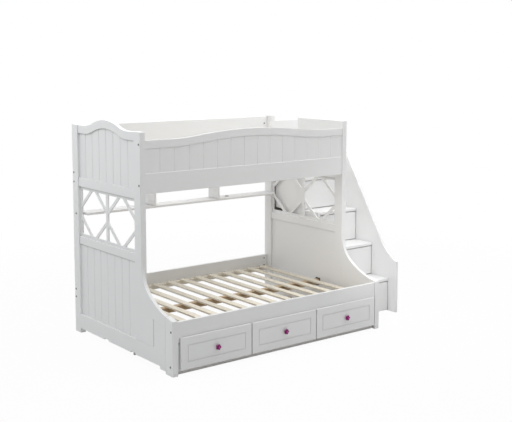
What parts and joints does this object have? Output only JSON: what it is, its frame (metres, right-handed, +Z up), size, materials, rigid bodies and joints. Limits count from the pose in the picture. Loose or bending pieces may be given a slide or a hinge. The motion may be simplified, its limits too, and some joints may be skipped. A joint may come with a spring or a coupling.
{
  "type": "bunk bed",
  "caption": "White wooden bunk bed, wide bed below and narrower above, with lattice windows, under-bed drawers and a staircase of drawer steps.",
  "frame": {"origin": "on the floor under the middle of the overall outline", "axes": "+X along the bed to the stair end, +Y to the back, +Z up"},
  "size_m": [2.479, 1.498, 1.741],
  "materials": {
    "white_paint": "satin white paint over wood",
    "pine": "bare sanded pine",
    "dark_wood": "dark brown stained wood",
    "drawer_wood": "pale sealed plywood",
    "bolt_steel": "dark plated steel",
    "bracket_steel": "black painted steel",
    "knob_plastic": "glossy purple plastic"
  },
  "bodies": {
    "bed_frame": {"back_guard": "white_paint", "back_shelf": "white_paint", "beam_brackets": "bracket_steel", "centre_beam": "dark_wood", "centre_beam_legs": "white_paint", "drawer_base_boards": "white_paint", "drawer_runners": "drawer_wood", "front_guard_bottom_rail": "white_paint", "front_guard_panel": "white_paint", "front_guard_top_rail": "white_paint", "left_back_post": "white_paint", "left_bottom_rail": "white_paint", "left_cross_rails": "white_paint", "left_curved_brace": "white_paint", "left_front_leg": "white_paint", "left_front_post": "white_paint", "left_lower_panel": "white_paint", "left_top_rail": "white_paint", "left_upper_panel": "white_paint", "left_window_lattice": "white_paint", "lower_back_rail": "white_paint", "lower_front_rail": "white_paint", "lower_slats": "pine", "post_bolts": "bolt_steel", "right_back_post": "white_paint", "right_bottom_rail": "white_paint", "right_cross_rails": "white_paint", "right_curved_brace": "white_paint", "right_front_leg": "white_paint", "right_front_post": "white_paint", "right_gate_stile": "white_paint", "right_lower_panel": "white_paint", "right_top_rail": "white_paint", "right_upper_panel": "white_paint", "right_window_lattice": "white_paint", "shelf_hangers": "white_paint", "slat_ledgers": "pine", "stair_back_panel": "white_paint", "stair_inner_side": "white_paint", "stair_outer_side": "white_paint", "stair_runners": "drawer_wood", "stair_treads": "white_paint", "upper_slats": "pine"},
    "left_drawer": {"left_drawer_front": "white_paint", "left_drawer_box": "drawer_wood", "left_drawer_knob": "knob_plastic"},
    "middle_drawer": {"middle_drawer_front": "white_paint", "middle_drawer_box": "drawer_wood", "middle_drawer_knob": "knob_plastic"},
    "right_drawer": {"right_drawer_front": "white_paint", "right_drawer_box": "drawer_wood", "right_drawer_knob": "knob_plastic"},
    "step_drawer_1": {"stair_drawer_front_1": "white_paint", "stair_drawer_box_1": "drawer_wood"},
    "step_drawer_2": {"stair_drawer_front_2": "white_paint", "stair_drawer_box_2": "drawer_wood"},
    "step_drawer_3": {"stair_drawer_front_3": "white_paint", "stair_drawer_box_3": "drawer_wood"},
    "step_drawer_4": {"stair_drawer_front_4": "white_paint", "stair_drawer_box_4": "drawer_wood"}
  },
  "joints": [
    {"name": "left_drawer_slide", "type": "slide", "parent": "bed_frame", "child": "left_drawer", "axis": [0, -1, 0], "range_m": [0, 0.4]},
    {"name": "middle_drawer_slide", "type": "slide", "parent": "bed_frame", "child": "middle_drawer", "axis": [0, -1, 0], "range_m": [0, 0.4]},
    {"name": "right_drawer_slide", "type": "slide", "parent": "bed_frame", "child": "right_drawer", "axis": [0, -1, 0], "range_m": [0, 0.4]},
    {"name": "step_drawer_1_slide", "type": "slide", "parent": "bed_frame", "child": "step_drawer_1", "axis": [0, -1, 0], "range_m": [0, 0.3]},
    {"name": "step_drawer_2_slide", "type": "slide", "parent": "bed_frame", "child": "step_drawer_2", "axis": [0, -1, 0], "range_m": [0, 0.3]},
    {"name": "step_drawer_3_slide", "type": "slide", "parent": "bed_frame", "child": "step_drawer_3", "axis": [0, -1, 0], "range_m": [0, 0.3]},
    {"name": "step_drawer_4_slide", "type": "slide", "parent": "bed_frame", "child": "step_drawer_4", "axis": [0, -1, 0], "range_m": [0, 0.3]}
  ]
}
